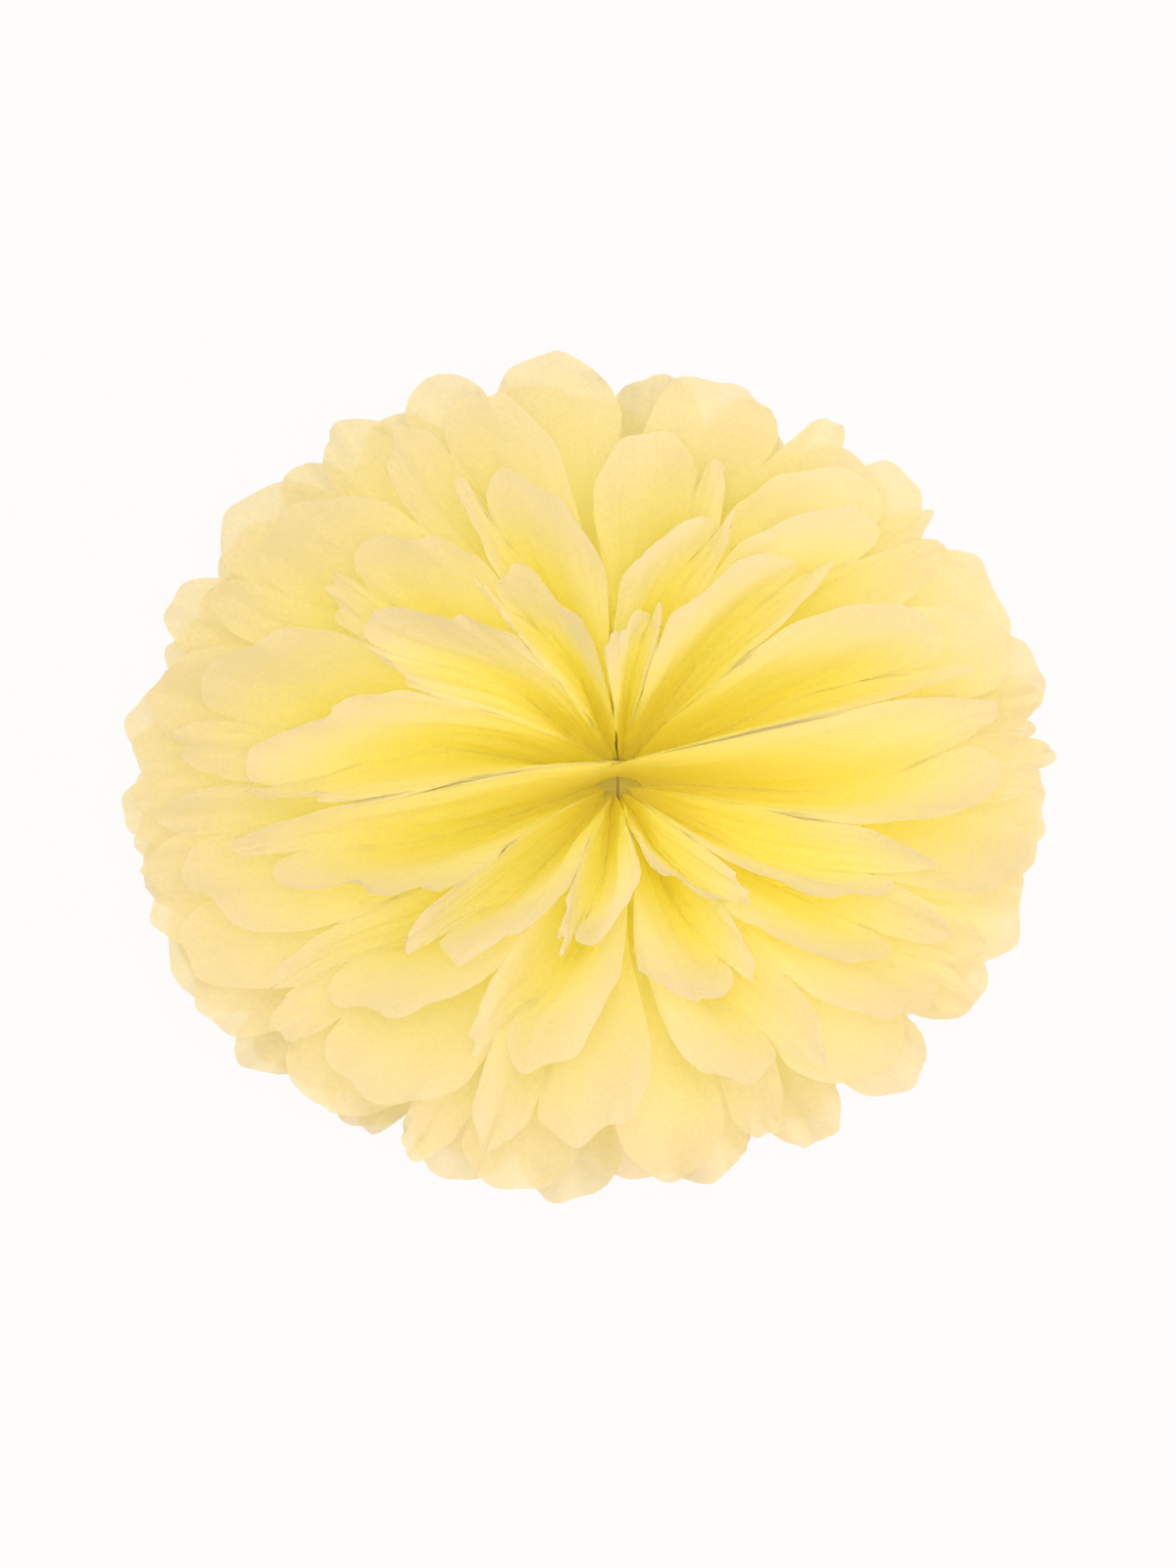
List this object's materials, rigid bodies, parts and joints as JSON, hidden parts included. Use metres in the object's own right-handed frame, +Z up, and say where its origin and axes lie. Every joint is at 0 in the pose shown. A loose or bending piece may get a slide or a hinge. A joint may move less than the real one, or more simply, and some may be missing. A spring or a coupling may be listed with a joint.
{
  "type": "tissue paper pom pom",
  "caption": "Round fluffed decoration of pleated tissue paper sheets tied at the waist with wire, standing on its lowest petals.",
  "frame": {"origin": "on the table under the middle of the ball's box", "axes": "+Z up, along the stack's normal; +X along the folded strip, from one fan to the other; +Y across it"},
  "size_m": [0.3386, 0.2936, 0.2452],
  "materials": {
    "tissue": "matt thin tissue paper, light yellow",
    "wire": "drawn florist's wire"
  },
  "bodies": {
    "root": {"tissue_sheet_1": "tissue", "tissue_sheet_2": "tissue", "tissue_sheet_3": "tissue", "tissue_sheet_4": "tissue", "tissue_sheet_5": "tissue", "tissue_sheet_6": "tissue", "tissue_sheet_7": "tissue", "tissue_sheet_8": "tissue", "wire_tie": "wire"}
  },
  "joints": []
}
